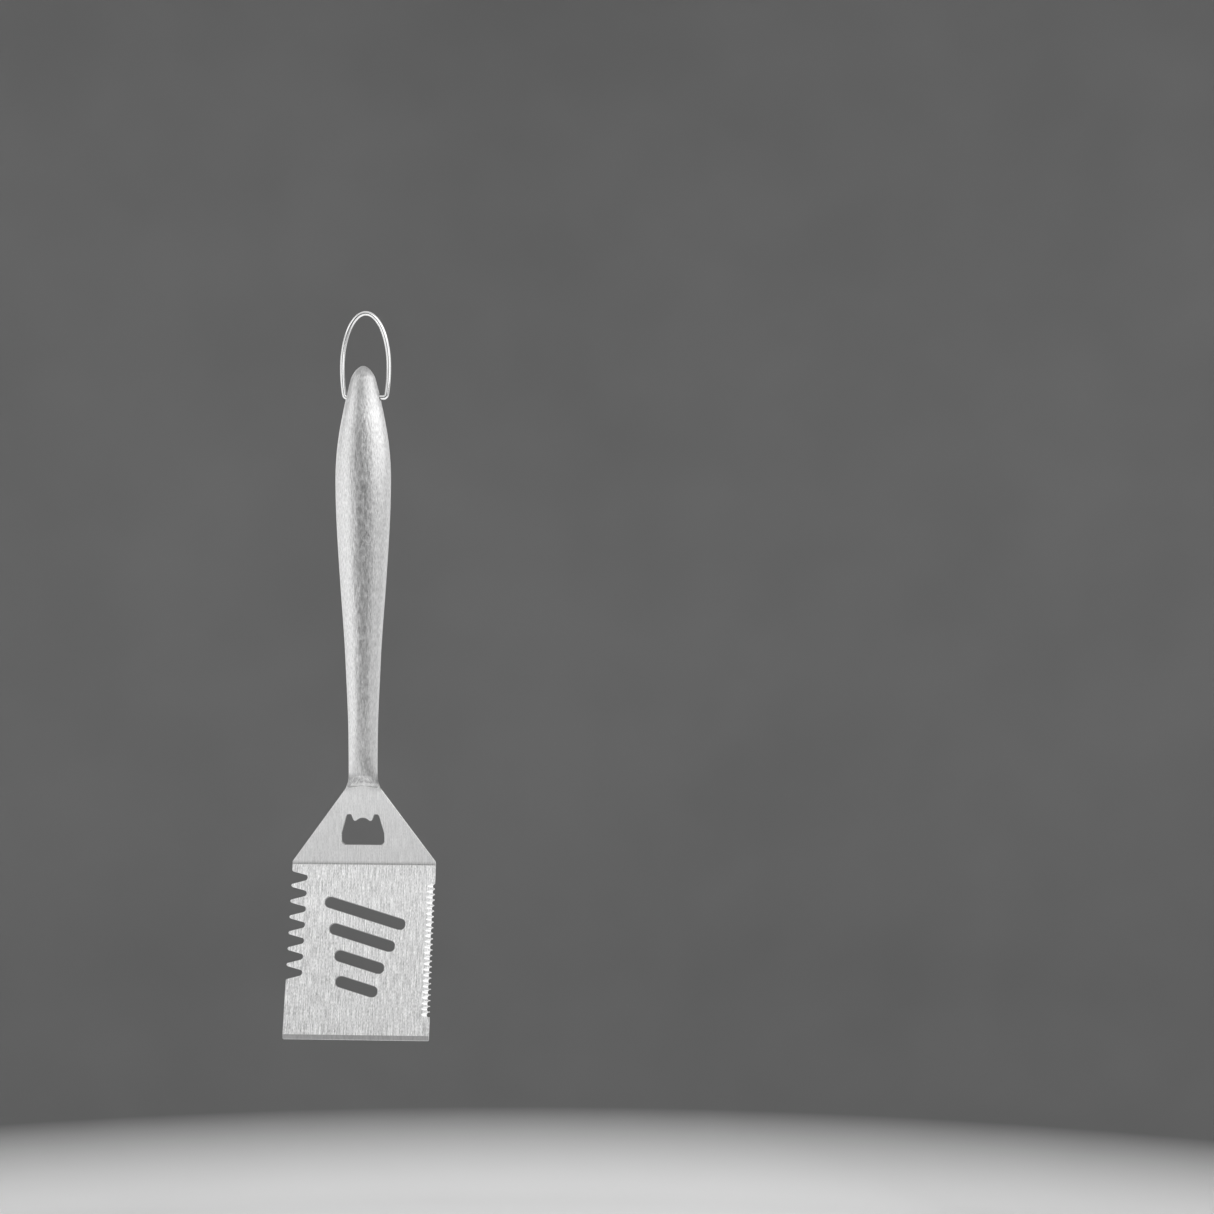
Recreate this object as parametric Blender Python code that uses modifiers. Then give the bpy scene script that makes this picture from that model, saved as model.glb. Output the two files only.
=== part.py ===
"""Grill spatula: a bent sheet blade with a bottle opener, a welded hollow handle and a wire hanging loop.

Metres, +Z up, the blade's front faces -Y. The origin is the top of the hanging loop's inside, where a hook
carries the tool. The loop stays on the hook, and the tool swings on it about the X axis through the handle.
The tool is modelled about its pivot, on an empty: there X is across the blade and Z runs up the handle.
"""

import math
from bisect import bisect_right

import bmesh
import bpy
from mathutils import Matrix, Vector

MM = 0.001

# Clearances between solids
GAP = 0.3 * MM
WIRE_CLEARANCE = 0.1 * MM

# Hanging loop, measured on the wire's centre line
WIRE_RADIUS = 1.4 * MM
LOOP_HALF_WIDTH = 15.0 * MM
LOOP_WAIST_ABOVE_PIVOT = 19.2 * MM
LOOP_CROWN_RISE = 34.7 * MM
LOOP_LEG_DROP = 42.4 * MM
LOOP_LEG_END = 4.0 * MM
LOOP_CORNER_RADIUS = 2.0 * MM
LOOP_WIRE_END = 4.5 * MM
LOOP_SIDE_PLAY = 1.4 * MM
# The tool leans back by this angle, which brings its balance point under the pivot
HANG_TILT = math.radians(1.25)
CROWN_STEPS = 12
LEG_STEPS = 5
WIRE_BEVEL_STEPS = 3

# Tube through the handle's butt, in which the loop's ends turn
TUBE_WALL = 0.8 * MM
TUBE_BORE_RADIUS = WIRE_RADIUS + WIRE_CLEARANCE
TUBE_RADIUS = TUBE_BORE_RADIUS + TUBE_WALL
TUBE_HALF_LENGTH = 9.5 * MM
TUBE_STEPS = 24
TUBE_CUTTER_LENGTH = 60 * MM

# Handle: distances run down from the butt's tip
PIVOT_BELOW_TIP = 20.2 * MM
HANDLE_LENGTH = 266.7 * MM
HANDLE_WALL = 1.0 * MM
DOME_LENGTH = 9.0 * MM
SEAM_WELD_HALF = 0.4 * MM
SEAM_HALF = SEAM_WELD_HALF + GAP
# (distance, half width), in millimetres
HANDLE_HALF_WIDTHS = (
    (0, 5.8), (20, 10.8), (40, 14.9), (56, 17.0), (72, 17.75), (99, 17.1), (137, 14.8),
    (176, 12.0), (200, 10.8), (215, 10.1), (230, 9.55), (245, 9.35), (260, 9.3), (266.7, 9.8),
)
# (distance, half depth), in millimetres
HANDLE_HALF_DEPTHS = (
    (0, 4.6), (20, 8.0), (40, 10.6), (72, 12.2), (99, 11.8), (137, 10.2),
    (176, 8.6), (214, 6.9), (240, 5.2), (256, 3.9), (266.7, 2.9),
)
# The section is a superellipse: this power at the butt, and a slightly squarer one where it flattens
SECTION_POWER = 2.2
NECK_POWER = 2.8
FLATTENING_START = 200 * MM
SECTION_STEPS = 12
DOME_STEPS = 5
HANDLE_STEPS = 24

# Blade sheet: heights run up the flat sheet from the bend between the blade and its shoulder
SHEET_HALF = 1.0 * MM
BLADE_HALF_WIDTH = 46.4 * MM
BLADE_LENGTH = 112.0 * MM
BLADE_ANGLE = math.radians(18.3)
SHOULDER_HEIGHT = 53.6 * MM
SHOULDER_ANGLE = math.radians(5.35)
SHOULDER_CORNER_HEIGHT = 1.75 * MM
SHOULDER_CORNER_RADIUS = 2.0 * MM
NECK_HALF_WIDTH = 9.85 * MM
NECK_FLARE_X = 11.0 * MM
NECK_FLARE_HEIGHT = 50.0 * MM
NECK_FLARE_RADIUS = 7.5 * MM
TANG_HALF_WIDTH = 5.0 * MM
TANG_LENGTH = 16.0 * MM
TANG_CORNER_RADIUS = 2.0 * MM
BEND_REACH = 0.9 * MM
BEND_STEPS = 4
EDGE_BEVEL_WIDTH = 2.9 * MM
EDGE_THICKNESS = 0.8 * MM

# Grease slots, first to last below the bend
SLOT_RADIUS = 3.6 * MM
SLOT_TILT = math.radians(16.7)
SLOT_SPANS = (47.5 * MM, 37.0 * MM, 26.2 * MM, 21.0 * MM)
FIRST_SLOT_X = 2.2 * MM
FIRST_SLOT_DROP = 31.9 * MM
SLOT_STEP_X = -1.08 * MM
SLOT_STEP_DROP = 15.6 * MM
# Just under a half circle, so that the two arcs of an end never share a point
SLOT_END_ROUND = 0.999

# Deep gullets between the big teeth of the left edge
TEETH_GULLETS = 7
GULLET_PITCH = 10.17 * MM
FIRST_GULLET_DROP = 9.3 * MM
GULLET_HALF_MOUTH = 4.3 * MM
GULLET_HALF_ANGLE = math.radians(14.9)
GULLET_RADIUS = 2.05 * MM
TOOTH_RADIUS = 0.95 * MM
BLADE_CORNER_RADIUS = 0.8 * MM

# Fine serrations of the right edge
SERRATIONS = 24
SERRATION_PITCH = 3.555 * MM
FIRST_SERRATION_DROP = 13.95 * MM
SERRATION_RADIUS = 1.6 * MM
FIRST_SERRATION_DEPTH = 1.3 * MM
LAST_SERRATION_DEPTH = 1.95 * MM
SERRATION_STEPS = 4

# Bottle opener: (half width, height, corner radius), in millimetres, about a line just left of the middle
OPENER_CENTRE_X = -0.44 * MM
OPENER_HALF = (
    (13.9, 12.7, 3.4), (13.8, 20.0, 12.0), (10.1, 33.2, 2.1),
    (7.6, 32.8, 1.0), (5.6, 27.5, 1.5), (0.0, 31.9, 5.2),
)

# Fillet welds where the handle's shells end on the blade
NECK_WELD_HALF_LENGTH = 9.3 * MM
NECK_WELD_LEG = 3.2 * MM
NECK_WELD_TOE = 0.1 * MM
NECK_WELD_STEPS = 4

CORNER_STEP = math.radians(22.5)
WELD_DISTANCE = 0.001 * MM

# Places that follow from the sizes
PIVOT_Z = -(LOOP_WAIST_ABOVE_PIVOT + LOOP_CROWN_RISE - WIRE_RADIUS)
HANDLE_END_Z = PIVOT_BELOW_TIP - HANDLE_LENGTH
NECK_CORNER_Z = HANDLE_END_Z - GAP
SHOULDER_UP = Vector((-math.sin(SHOULDER_ANGLE), math.cos(SHOULDER_ANGLE)))
BLADE_UP = Vector((math.sin(BLADE_ANGLE), math.cos(BLADE_ANGLE)))
TANG_UP = Vector((0, 1))
NECK_CORNER = Vector((0, NECK_CORNER_Z))
BLADE_BEND = NECK_CORNER - SHOULDER_HEIGHT * SHOULDER_UP

ACROSS_AND_UP = Matrix(((1, 0, 0, 0), (0, 0, -1, 0), (0, 1, 0, 0), (0, 0, 0, 1)))
BACK_AND_UP = Matrix(((0, 0, 1, 0), (1, 0, 0, 0), (0, 1, 0, 0), (0, 0, 0, 1)))


# ---- Scene, materials and small helpers ----


def clear_scene():
    for obj in list(bpy.data.objects):
        bpy.data.objects.remove(obj, do_unlink=True)


def new_collection(name, helper=False):
    collection = bpy.data.collections.new(name)
    bpy.context.scene.collection.children.link(collection)
    collection.hide_render = helper
    return collection


def steel(name, grey, roughness):
    material = bpy.data.materials.new(name)
    material.use_nodes = True
    shader = material.node_tree.nodes["Principled BSDF"]
    shader.inputs["Base Color"].default_value = (grey, grey, grey, 1.0)
    shader.inputs["Metallic"].default_value = 1.0
    shader.inputs["Roughness"].default_value = roughness
    return material


def add_mesh(name, mesh, collection, material, parent=None):
    obj = bpy.data.objects.new(name, mesh)
    collection.objects.link(obj)
    obj.data.materials.clear()
    obj.data.materials.append(material)
    obj.parent = parent
    return obj


def mesh_from(bm, name):
    bmesh.ops.recalc_face_normals(bm, faces=bm.faces)
    mesh = bpy.data.meshes.new(name)
    bm.to_mesh(mesh)
    bm.free()
    return mesh


def shade_round(obj, sharpest=math.radians(30)):
    obj.data.shade_smooth()
    obj.data.set_sharp_from_angle(angle=sharpest)


def mesh_of_curve(curve_obj):
    """The evaluated curve as a mesh with its caps welded, with the curve object removed."""
    bpy.context.view_layer.update()
    graph = bpy.context.evaluated_depsgraph_get()
    mesh = bpy.data.meshes.new_from_object(curve_obj.evaluated_get(graph))
    bm = bmesh.new()
    bm.from_mesh(mesh)
    bmesh.ops.remove_doubles(bm, verts=bm.verts, dist=WELD_DISTANCE)
    bmesh.ops.recalc_face_normals(bm, faces=bm.faces)
    bm.to_mesh(mesh)
    bm.free()
    bpy.data.objects.remove(curve_obj, do_unlink=True)
    return mesh


def curve_object(name, collection, outlines, closed, dimensions):
    curve = bpy.data.curves.new(name, "CURVE")
    curve.dimensions = dimensions
    for outline in outlines:
        spline = curve.splines.new("POLY")
        spline.points.add(len(outline) - 1)
        for point, place in zip(spline.points, outline):
            point.co = (*place, 0, 1) if len(place) == 2 else (*place, 1)
        spline.use_cyclic_u = closed
    obj = bpy.data.objects.new(name, curve)
    collection.objects.link(obj)
    return obj


def flat_plate(name, collection, outlines, half_thickness):
    """A mesh of a flat plate in the local XY plane: the first outline is its edge, the others its holes."""
    obj = curve_object(name, collection, outlines, closed=True, dimensions="2D")
    obj.data.fill_mode = "BOTH"
    obj.data.extrude = half_thickness
    return mesh_of_curve(obj)


def round_corners(corners, closed=True):
    """Points of a polygon of (x, y, radius) corners, each corner with a radius turned into an arc."""
    points = []
    count = len(corners)
    for index, (x, y, radius) in enumerate(corners):
        corner = Vector((x, y))
        at_end = not closed and index in (0, count - 1)
        if radius == 0 or at_end:
            points.append(corner)
            continue
        to_last = (Vector(corners[index - 1][:2]) - corner).normalized()
        to_next = (Vector(corners[(index + 1) % count][:2]) - corner).normalized()
        half_opening = to_last.angle(to_next) / 2
        bisector = (to_last + to_next).normalized()
        centre = corner + bisector * (radius / math.sin(half_opening))
        reach = radius / math.tan(half_opening)
        first = corner + to_last * reach - centre
        sweep = first.angle_signed(corner + to_next * reach - centre)
        steps = max(1, math.ceil(abs(sweep) / CORNER_STEP))
        for step in range(steps + 1):
            turn = Matrix.Rotation(-sweep * step / steps, 2)
            points.append(centre + turn @ first)
    return points


def smooth_through(stations, place):
    """The value at a place on a smooth curve through (place, value) stations."""
    places = [station[0] for station in stations]
    values = [station[1] for station in stations]
    last = len(stations) - 1
    low = min(max(bisect_right(places, place) - 1, 0), last - 1)
    high = low + 1

    def slope(index):
        before, after = max(index - 1, 0), min(index + 1, last)
        return (values[after] - values[before]) / (places[after] - places[before])

    span = places[high] - places[low]
    share = (place - places[low]) / span
    squared, cubed = share**2, share**3
    return (
        values[low] * (2 * cubed - 3 * squared + 1)
        + values[high] * (3 * squared - 2 * cubed)
        + slope(low) * span * (cubed - 2 * squared + share)
        + slope(high) * span * (cubed - squared)
    )


# ---- Handle ----


def handle_size(distance, inset):
    """Half width, half depth and Z of the handle's surface, or of the one an inset inside it."""
    dome_share = min(distance / DOME_LENGTH, 1.0)
    dome = math.sqrt(1 - (1 - dome_share) ** 2)
    place = distance + inset * (1 - dome_share)
    half_width = smooth_through(HANDLE_HALF_WIDTHS, place / MM) * MM
    half_depth = smooth_through(HANDLE_HALF_DEPTHS, place / MM) * MM
    return (half_width - inset) * dome, (half_depth - inset) * dome, PIVOT_BELOW_TIP - place


def section_power(distance):
    flat_share = (distance - FLATTENING_START) / (HANDLE_LENGTH - FLATTENING_START)
    flat_share = min(max(flat_share, 0.0), 1.0)
    return SECTION_POWER + (NECK_POWER - SECTION_POWER) * flat_share**2


def shell_row(distance, inset, side):
    """Points across one half of the handle's section. Side is -1 for the front half and 1 for the back."""
    half_width, half_depth, z = handle_size(distance, inset)
    power = 2 / section_power(distance)
    row = []
    for step in range(SECTION_STEPS + 1):
        angle = math.pi * step / SECTION_STEPS
        cosine, sine = math.cos(angle), abs(math.sin(angle))
        x = math.copysign(abs(cosine) ** power, cosine) * half_width
        depth = sine**power if 0 < step < SECTION_STEPS else 0.0
        row.append(Vector((x, side * (SEAM_HALF + (half_depth - SEAM_HALF) * depth), z)))
    return row


def handle_distances(start):
    """Distances from the butt's tip to the handle's end, close together on the dome."""
    first_angle = math.acos(1 - start / DOME_LENGTH)
    distances = []
    for step in range(DOME_STEPS):
        angle = first_angle + (math.pi / 2 - first_angle) * step / DOME_STEPS
        distances.append(DOME_LENGTH * (1 - math.cos(angle)))
    for step in range(HANDLE_STEPS + 1):
        distances.append(DOME_LENGTH + (HANDLE_LENGTH - DOME_LENGTH) * step / HANDLE_STEPS)
    return distances


def half_shell(name, side, tools):
    """One pressed half of the handle: an outer and an inner surface joined round the seam, tip and end."""
    bm = bmesh.new()
    outer_rows = []
    inner_rows = []
    for distance in handle_distances(start=GAP):
        outer_rows.append([bm.verts.new(point) for point in shell_row(distance, 0.0, side)])
        inner_rows.append([bm.verts.new(point) for point in shell_row(distance, HANDLE_WALL, side)])
    for rows in (outer_rows, inner_rows):
        bm.faces.new(rows[0])
        for upper, lower in zip(rows, rows[1:]):
            for step in range(SECTION_STEPS):
                bm.faces.new((upper[step], upper[step + 1], lower[step + 1], lower[step]))
    for edge in (0, SECTION_STEPS):
        for index in range(len(outer_rows) - 1):
            bm.faces.new((
                outer_rows[index][edge], outer_rows[index + 1][edge],
                inner_rows[index + 1][edge], inner_rows[index][edge],
            ))
    for step in range(SECTION_STEPS):
        bm.faces.new((
            outer_rows[-1][step], outer_rows[-1][step + 1], inner_rows[-1][step + 1], inner_rows[-1][step],
        ))
    bm.faces.new((outer_rows[0][0], inner_rows[0][0], inner_rows[0][-1], outer_rows[0][-1]))
    shell = add_mesh(name, mesh_from(bm, name), tools["parts"], tools["satin"], tools["pivot"])
    cut = shell.modifiers.new("tube_hole", "BOOLEAN")
    cut.operation = "DIFFERENCE"
    cut.object = tools["tube_cutter"]
    shade_round(shell)
    return shell


def seam_edge(distance, inset, sign):
    half_width, _, z = handle_size(distance, inset)
    return sign * half_width, z


def seam_weld(name, outer, inner, tools):
    """A strip of weld along the seam, ground flush: it fills between an outer and an inner edge."""
    mesh = flat_plate(name, tools["parts"], [outer + inner[::-1]], SEAM_WELD_HALF)
    mesh.transform(ACROSS_AND_UP)
    weld = add_mesh(name, mesh, tools["parts"], tools["weld"], tools["pivot"])
    shade_round(weld)


def seam_welds(tools):
    """Weld strips down both sides and one over the butt, stopped clear of the tube's holes."""
    hole = TUBE_RADIUS + 2 * GAP
    above = [d for d in handle_distances(start=GAP) if d < PIVOT_BELOW_TIP - hole]
    above = [0.0] + above + [PIVOT_BELOW_TIP - hole]
    below = [d for d in handle_distances(start=GAP) if d > PIVOT_BELOW_TIP + hole]
    below = [PIVOT_BELOW_TIP + hole] + below
    for name, sign in (("seam_weld_left", -1), ("seam_weld_right", 1)):
        outer = [seam_edge(distance, 0.0, sign) for distance in below]
        inner = [seam_edge(distance, HANDLE_WALL, sign) for distance in below]
        seam_weld(name, outer, inner, tools)
    arches = []
    for inset in (0.0, HANDLE_WALL):
        left = [seam_edge(distance, inset, -1) for distance in reversed(above)]
        right = [seam_edge(distance, inset, 1) for distance in above[1:]]
        arches.append(left + right)
    seam_weld("seam_weld_butt", arches[0], arches[1], tools)


# ---- Blade ----


def sheet_place(height):
    """Centre line point (y, z) and upward direction of the bent sheet, at a height up the flat sheet."""
    for corner_height, corner, below, above in (
        (0.0, BLADE_BEND, BLADE_UP, SHOULDER_UP),
        (SHOULDER_HEIGHT, NECK_CORNER, SHOULDER_UP, TANG_UP),
    ):
        offset = height - corner_height
        if abs(offset) < BEND_REACH:
            share = (offset + BEND_REACH) / (2 * BEND_REACH)
            point = corner + BEND_REACH * (share**2 * above - (1 - share) ** 2 * below)
            return point, ((1 - share) * below + share * above).normalized()
        if offset <= 0:
            return corner + offset * below, below
    return NECK_CORNER + (height - SHOULDER_HEIGHT) * TANG_UP, TANG_UP


def on_sheet(across, height, forward):
    """The point of the bent tool for a point of the flat sheet and its distance in front of the middle."""
    point, up = sheet_place(height)
    front = Vector((-up.y, up.x))
    place = point + forward * front
    return Vector((across, place.x, place.y))


def gullet_corners():
    """Corners of the left edge's big teeth, from the top down."""
    depth = GULLET_HALF_MOUTH / math.tan(GULLET_HALF_ANGLE)
    corners = []
    for index in range(TEETH_GULLETS):
        height = -(FIRST_GULLET_DROP + GULLET_PITCH * index)
        corners.append((-BLADE_HALF_WIDTH, height + GULLET_HALF_MOUTH, TOOTH_RADIUS))
        corners.append((-BLADE_HALF_WIDTH + depth, height, GULLET_RADIUS))
        corners.append((-BLADE_HALF_WIDTH, height - GULLET_HALF_MOUTH, TOOTH_RADIUS))
    return corners


def serration_corners():
    """Points of the right edge's round serrations, from the bottom up."""
    corners = []
    for index in reversed(range(SERRATIONS)):
        height = -(FIRST_SERRATION_DROP + SERRATION_PITCH * index)
        share = index / (SERRATIONS - 1)
        depth = FIRST_SERRATION_DEPTH + (LAST_SERRATION_DEPTH - FIRST_SERRATION_DEPTH) * share
        centre_x = BLADE_HALF_WIDTH - depth + SERRATION_RADIUS
        half_sweep = math.acos((centre_x - BLADE_HALF_WIDTH) / SERRATION_RADIUS)
        for step in range(-SERRATION_STEPS, SERRATION_STEPS + 1):
            angle = half_sweep * step / SERRATION_STEPS
            x = centre_x - SERRATION_RADIUS * math.cos(angle)
            corners.append((x, height + SERRATION_RADIUS * math.sin(angle), 0))
    return corners


def blade_outline():
    """The flat sheet's edge, down its left side and up its right side."""
    tang_top = SHOULDER_HEIGHT + TANG_LENGTH
    shoulder = (
        (NECK_HALF_WIDTH, SHOULDER_HEIGHT, 0),
        (NECK_FLARE_X, NECK_FLARE_HEIGHT, NECK_FLARE_RADIUS),
        (BLADE_HALF_WIDTH, SHOULDER_CORNER_HEIGHT, SHOULDER_CORNER_RADIUS),
    )
    left = [(-TANG_HALF_WIDTH, tang_top, TANG_CORNER_RADIUS), (-TANG_HALF_WIDTH, SHOULDER_HEIGHT, 0)]
    left += [(-x, height, radius) for x, height, radius in shoulder]
    left += gullet_corners()
    left += [(-BLADE_HALF_WIDTH, -BLADE_LENGTH, BLADE_CORNER_RADIUS)]
    right = [(BLADE_HALF_WIDTH, -BLADE_LENGTH, BLADE_CORNER_RADIUS)]
    right += serration_corners()
    right += list(reversed(shoulder))
    right += [(TANG_HALF_WIDTH, SHOULDER_HEIGHT, 0), (TANG_HALF_WIDTH, tang_top, TANG_CORNER_RADIUS)]
    return round_corners(left + right)


def slot_outline(index):
    centre = Vector((FIRST_SLOT_X + SLOT_STEP_X * index, -(FIRST_SLOT_DROP + SLOT_STEP_DROP * index)))
    along = Vector((math.cos(SLOT_TILT), -math.sin(SLOT_TILT)))
    aside = Vector((math.sin(SLOT_TILT), math.cos(SLOT_TILT))) * SLOT_RADIUS
    end = along * (SLOT_SPANS[index] / 2 + SLOT_RADIUS)
    corners = (centre - end - aside, centre + end - aside, centre + end + aside, centre - end + aside)
    return round_corners([(*corner, SLOT_RADIUS * SLOT_END_ROUND) for corner in corners])


def opener_outline():
    half = [(x * MM, height * MM, radius * MM) for x, height, radius in OPENER_HALF]
    right = [(OPENER_CENTRE_X + x, height, radius) for x, height, radius in half]
    left = [(OPENER_CENTRE_X - x, height, radius) for x, height, radius in reversed(half[:-1])]
    return round_corners(right + left)


def blade(tools):
    """The blade, its shoulder with the opener, and the tang, cut from one flat sheet and then bent."""
    outlines = [blade_outline(), opener_outline()]
    outlines += [slot_outline(index) for index in range(len(SLOT_SPANS))]
    mesh = flat_plate("blade", tools["parts"], outlines, SHEET_HALF)
    bm = bmesh.new()
    bm.from_mesh(mesh)
    bevel_height = EDGE_BEVEL_WIDTH - BLADE_LENGTH
    cuts = [bevel_height]
    for step in range(BEND_STEPS + 1):
        offset = BEND_REACH * (2 * step / BEND_STEPS - 1)
        cuts += [offset, SHOULDER_HEIGHT + offset]
    for height in cuts:
        everything = bm.verts[:] + bm.edges[:] + bm.faces[:]
        bmesh.ops.bisect_plane(
            bm, geom=everything, dist=WELD_DISTANCE, plane_co=(0, height, 0), plane_no=(0, 1, 0)
        )
    for vert in bm.verts:
        across, height, forward = vert.co
        if forward > 0 and height < bevel_height:
            ground = (bevel_height - height) / EDGE_BEVEL_WIDTH
            forward -= ground * (2 * SHEET_HALF - EDGE_THICKNESS)
        vert.co = on_sheet(across, height, forward)
    plate = add_mesh("blade", mesh_from(bm, "blade"), tools["parts"], tools["brushed"], tools["pivot"])
    shade_round(plate)


def neck_weld(name, side, tools):
    """A fillet weld across the blade under one shell's end. Side is 1 for the front and -1 for the back."""
    floor = SHEET_HALF + GAP
    shell_half_depth = HANDLE_HALF_DEPTHS[-1][1] * MM
    rise = shell_half_depth - floor - NECK_WELD_TOE
    section = [on_sheet(0, SHOULDER_HEIGHT, side * floor)]
    for step in range(NECK_WELD_STEPS + 1):
        share = step / NECK_WELD_STEPS
        forward = floor + NECK_WELD_TOE + rise * (1 - share) ** 2
        section.append(on_sheet(0, SHOULDER_HEIGHT - NECK_WELD_LEG * share, side * forward))
    section.append(on_sheet(0, SHOULDER_HEIGHT - NECK_WELD_LEG, side * floor))
    outline = [(point.y, point.z) for point in section]
    mesh = flat_plate(name, tools["parts"], [outline], NECK_WELD_HALF_LENGTH)
    mesh.transform(BACK_AND_UP)
    weld = add_mesh(name, mesh, tools["parts"], tools["weld"], tools["pivot"])
    shade_round(weld)


# ---- Hanging loop ----


def along_x(mesh):
    mesh.transform(Matrix.Rotation(math.pi / 2, 4, "Y"))


def loop_tube(tools):
    """A tube across the butt, open at both ends."""
    bm = bmesh.new()
    bmesh.ops.create_cone(
        bm, cap_ends=False, segments=TUBE_STEPS, radius1=TUBE_RADIUS, radius2=TUBE_RADIUS,
        depth=2 * TUBE_HALF_LENGTH,
    )
    mesh = mesh_from(bm, "loop_tube")
    along_x(mesh)
    tube = add_mesh("loop_tube", mesh, tools["parts"], tools["satin"], tools["pivot"])
    wall = tube.modifiers.new("wall", "SOLIDIFY")
    wall.thickness = TUBE_WALL
    wall.offset = -1.0
    wall.use_even_offset = True
    shade_round(tube)


def tube_cutter(helpers, material, pivot):
    """A rod across the butt that opens the shells round the tube."""
    bm = bmesh.new()
    bmesh.ops.create_cone(
        bm, cap_ends=True, segments=TUBE_STEPS, radius1=TUBE_RADIUS + GAP, radius2=TUBE_RADIUS + GAP,
        depth=TUBE_CUTTER_LENGTH,
    )
    mesh = mesh_from(bm, "tube_cutter")
    along_x(mesh)
    cutter = add_mesh("tube_cutter", mesh, helpers, material, pivot)
    cutter.hide_render = True
    cutter.display_type = "WIRE"
    return cutter


def loop_half():
    """The right half of the wire's centre line, from its end in the tube up to the crown, as (x, z)."""
    waist_z = PIVOT_Z + LOOP_WAIST_ABOVE_PIVOT

    def leg_point(above_pivot):
        drop = LOOP_WAIST_ABOVE_PIVOT - above_pivot
        return LOOP_HALF_WIDTH * math.sqrt(1 - (drop / LOOP_LEG_DROP) ** 2), PIVOT_Z + above_pivot

    foot_x, _ = leg_point(0.0)
    foot = (foot_x, PIVOT_Z, LOOP_CORNER_RADIUS)
    corner = [(LOOP_WIRE_END, PIVOT_Z, 0), foot, (*leg_point(LOOP_LEG_END), 0)]
    points = [tuple(point) for point in round_corners(corner, closed=False)]
    for step in range(1, LEG_STEPS):
        share = step / LEG_STEPS
        points.append(leg_point(LOOP_LEG_END + (LOOP_WAIST_ABOVE_PIVOT - LOOP_LEG_END) * share))
    for step in range(CROWN_STEPS + 1):
        angle = math.pi / 2 * step / CROWN_STEPS
        points.append((LOOP_HALF_WIDTH * math.cos(angle), waist_z + LOOP_CROWN_RISE * math.sin(angle)))
    return points


def hanging_loop(tools):
    """The wire bail: its two ends turn inward into the tube."""
    right = loop_half()
    path = [(x, 0, z) for x, z in right] + [(-x, 0, z) for x, z in reversed(right[:-1])]
    curve = curve_object("hanging_loop_path", tools["parts"], [path], closed=False, dimensions="3D")
    curve.data.bevel_depth = WIRE_RADIUS
    curve.data.bevel_resolution = WIRE_BEVEL_STEPS
    curve.data.use_fill_caps = True
    loop = add_mesh("hanging_loop", mesh_of_curve(curve), tools["parts"], tools["polished"])
    shade_round(loop)


def main():
    clear_scene()
    parts = new_collection("grill_spatula")
    helpers = new_collection("cutters", helper=True)
    pivot = bpy.data.objects.new("tool_pivot", None)
    pivot.location = (-LOOP_SIDE_PLAY, 0, PIVOT_Z)
    pivot.rotation_euler = (HANG_TILT, 0, 0)
    parts.objects.link(pivot)
    satin = steel("satin_steel", 0.69, 0.34)
    tools = {
        "parts": parts,
        "pivot": pivot,
        "satin": satin,
        "brushed": steel("brushed_steel", 0.70, 0.46),
        "weld": steel("ground_weld", 0.62, 0.42),
        "polished": steel("polished_wire", 0.78, 0.10),
        "tube_cutter": tube_cutter(helpers, satin, pivot),
    }
    blade(tools)
    half_shell("handle_front_shell", -1, tools)
    half_shell("handle_back_shell", 1, tools)
    seam_welds(tools)
    neck_weld("neck_weld_front", 1, tools)
    neck_weld("neck_weld_back", -1, tools)
    loop_tube(tools)
    hanging_loop(tools)


main()
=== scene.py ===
"""Looks of the grill spatula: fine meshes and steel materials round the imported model, in a plain studio.

The tool's pieces are made in its own frame, about the pivot in its butt: X across the blade, Z up the handle,
the front of the blade towards -Y. TOOL_FRAME then places them, leaning back as the tool hangs.
"""

import math
from bisect import bisect_right

import bmesh
import bpy
from mathutils import Matrix, Vector


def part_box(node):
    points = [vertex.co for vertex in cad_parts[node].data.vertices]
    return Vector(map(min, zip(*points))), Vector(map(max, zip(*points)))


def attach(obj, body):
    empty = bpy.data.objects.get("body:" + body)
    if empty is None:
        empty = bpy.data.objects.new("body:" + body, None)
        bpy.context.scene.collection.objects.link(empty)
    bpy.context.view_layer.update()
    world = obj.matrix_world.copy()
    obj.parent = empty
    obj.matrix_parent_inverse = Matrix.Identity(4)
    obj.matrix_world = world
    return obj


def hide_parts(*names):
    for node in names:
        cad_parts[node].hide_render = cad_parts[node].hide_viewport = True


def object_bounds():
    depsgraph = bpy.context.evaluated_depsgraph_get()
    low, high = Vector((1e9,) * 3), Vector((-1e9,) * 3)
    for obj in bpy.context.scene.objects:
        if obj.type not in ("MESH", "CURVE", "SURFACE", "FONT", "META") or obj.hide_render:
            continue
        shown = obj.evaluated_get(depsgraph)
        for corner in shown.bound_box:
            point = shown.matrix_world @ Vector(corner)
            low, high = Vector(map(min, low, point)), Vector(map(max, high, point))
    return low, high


MM = 0.001

# Hanging loop, on the wire's centre line
WIRE_RADIUS = 1.4 * MM
LOOP_HALF_WIDTH = 15.0 * MM
LOOP_WAIST_ABOVE_PIVOT = 19.2 * MM
LOOP_CROWN_RISE = 34.7 * MM
LOOP_LEG_DROP = 42.4 * MM
LOOP_LEG_END = 4.0 * MM
LOOP_CORNER_RADIUS = 2.0 * MM
LOOP_WIRE_END = 4.5 * MM
CROWN_STEPS = 40
LEG_STEPS = 12
HANG_TILT = math.radians(1.25)

# Tube in the butt
TUBE_BORE_RADIUS = 1.5 * MM
TUBE_LIP_RADIUS = 2.5 * MM
TUBE_LIP_ROUND = 0.25 * MM
TUBE_LIP_X = 9.9 * MM
TUBE_STEPS = 48
BORE_ROD_LENGTH = 60 * MM

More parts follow.
